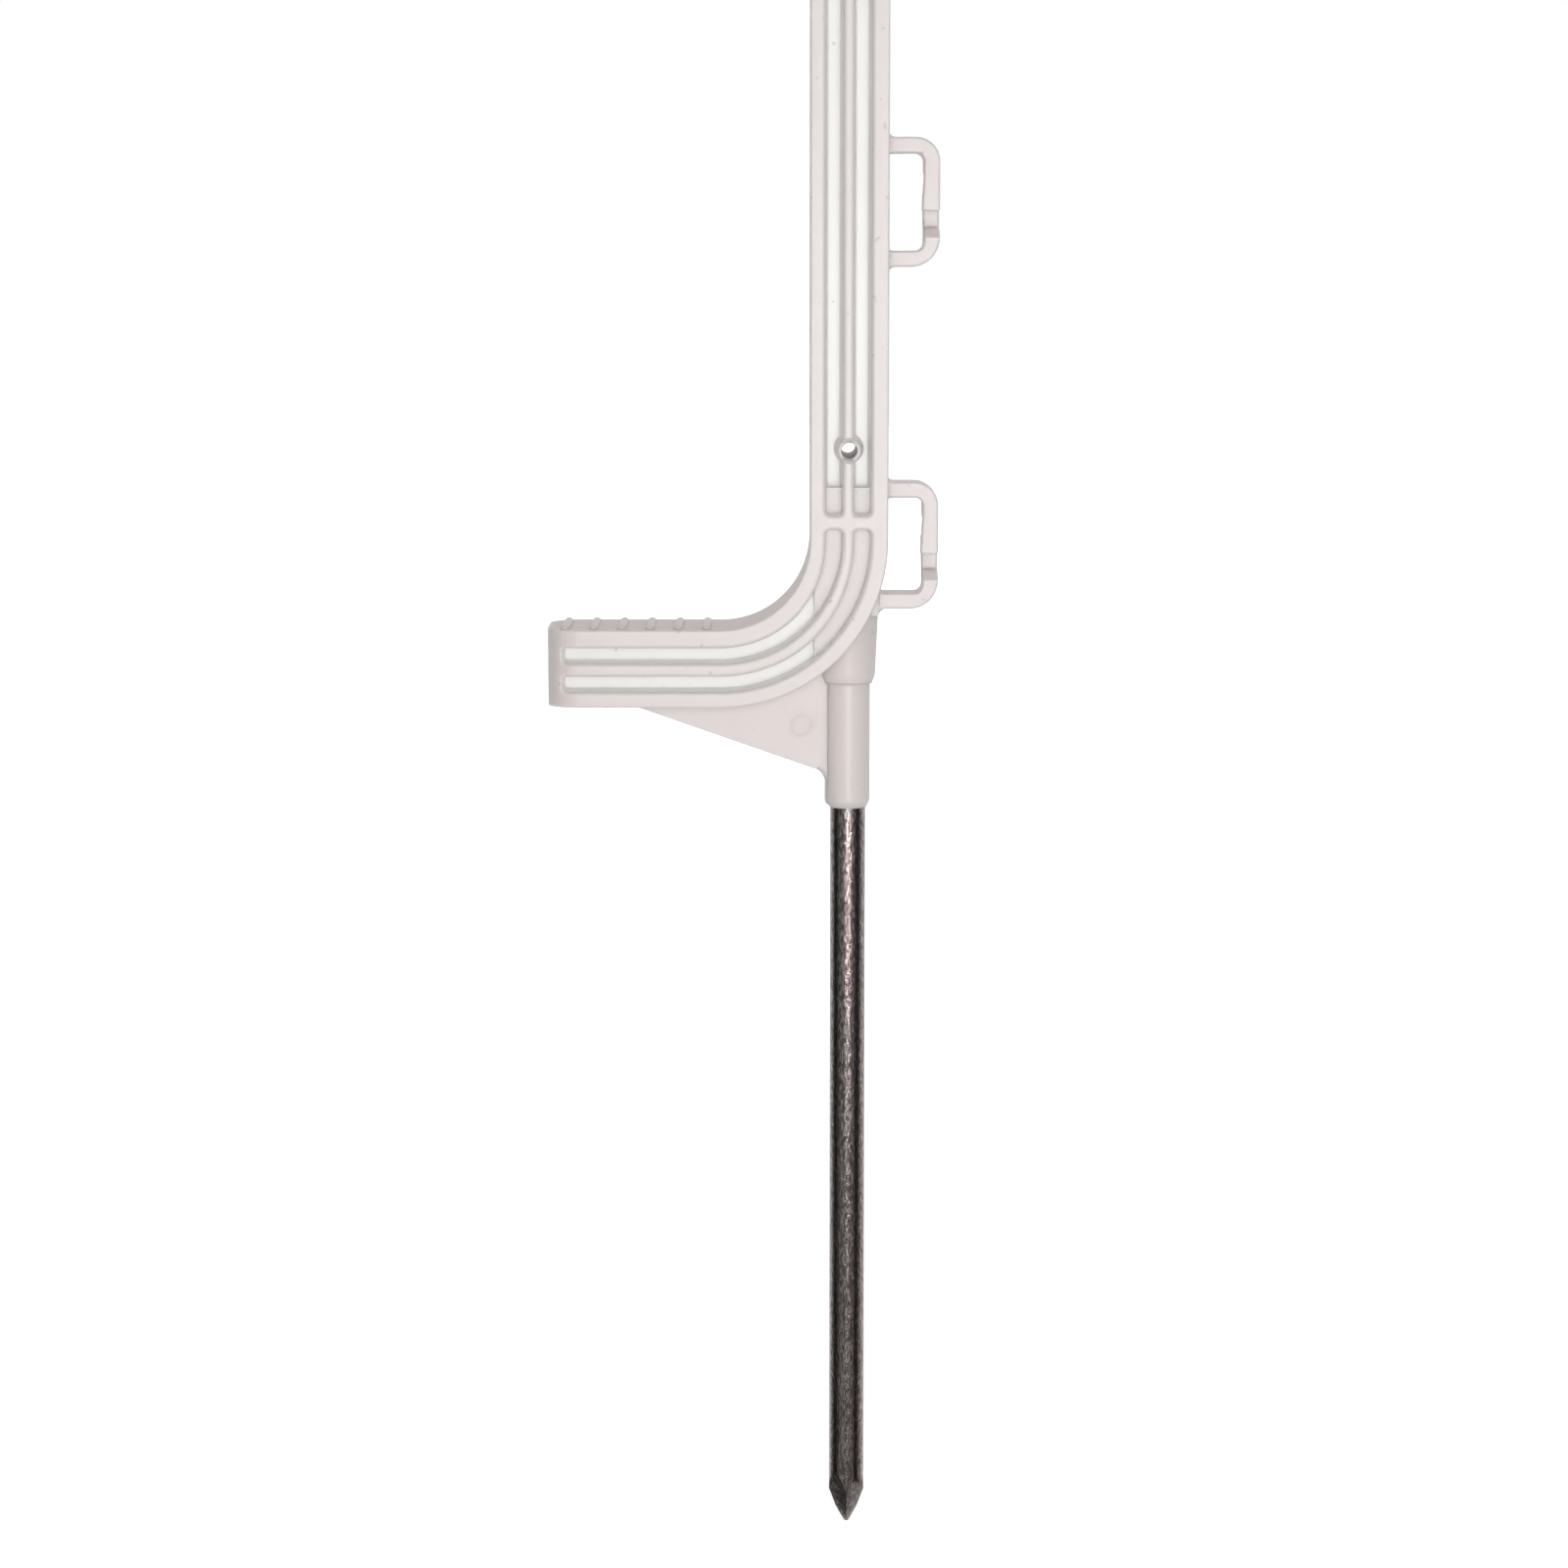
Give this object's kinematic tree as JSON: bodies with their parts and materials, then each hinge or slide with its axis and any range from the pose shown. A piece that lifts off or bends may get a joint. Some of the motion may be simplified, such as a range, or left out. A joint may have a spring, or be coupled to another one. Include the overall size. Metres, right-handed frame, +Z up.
{
  "type": "electric fence post",
  "caption": "Tread-in electric fence post: moulded ribbed column with a row of open wire loops down one edge, a bent tread foot and a steel ground spike.",
  "frame": {"origin": "on the spike's axis, at the plane where the spike leaves the socket's lower end", "axes": "+Z up along the column and the spike's axis; -X towards the tread foot, +X towards the wire loops; the ribbed faces look along -Y and +Y"},
  "size_m": [0.0983, 0.03, 0.73],
  "materials": {
    "plastic": "warm off-white moulded plastic, faintly translucent, satin",
    "steel": "dark brown-black steel rod, glossy, finely pitted and streaked along its length"
  },
  "bodies": {
    "root": {"steel_spike": "steel", "spike_socket": "plastic", "gusset_plate": "plastic", "tread_foot": "plastic", "foot_bend": "plastic", "column": "plastic", "wire_boss": "plastic", "column_head": "plastic", "loop_1_upper_hook": "plastic", "loop_2_upper_hook": "plastic", "loop_3_upper_hook": "plastic", "loop_4_upper_hook": "plastic", "loop_5_upper_hook": "plastic", "loop_6_upper_hook": "plastic", "loop_1_lower_hook": "plastic", "loop_2_lower_hook": "plastic", "loop_3_lower_hook": "plastic", "loop_4_lower_hook": "plastic", "loop_5_lower_hook": "plastic", "loop_6_lower_hook": "plastic"}
  },
  "joints": []
}
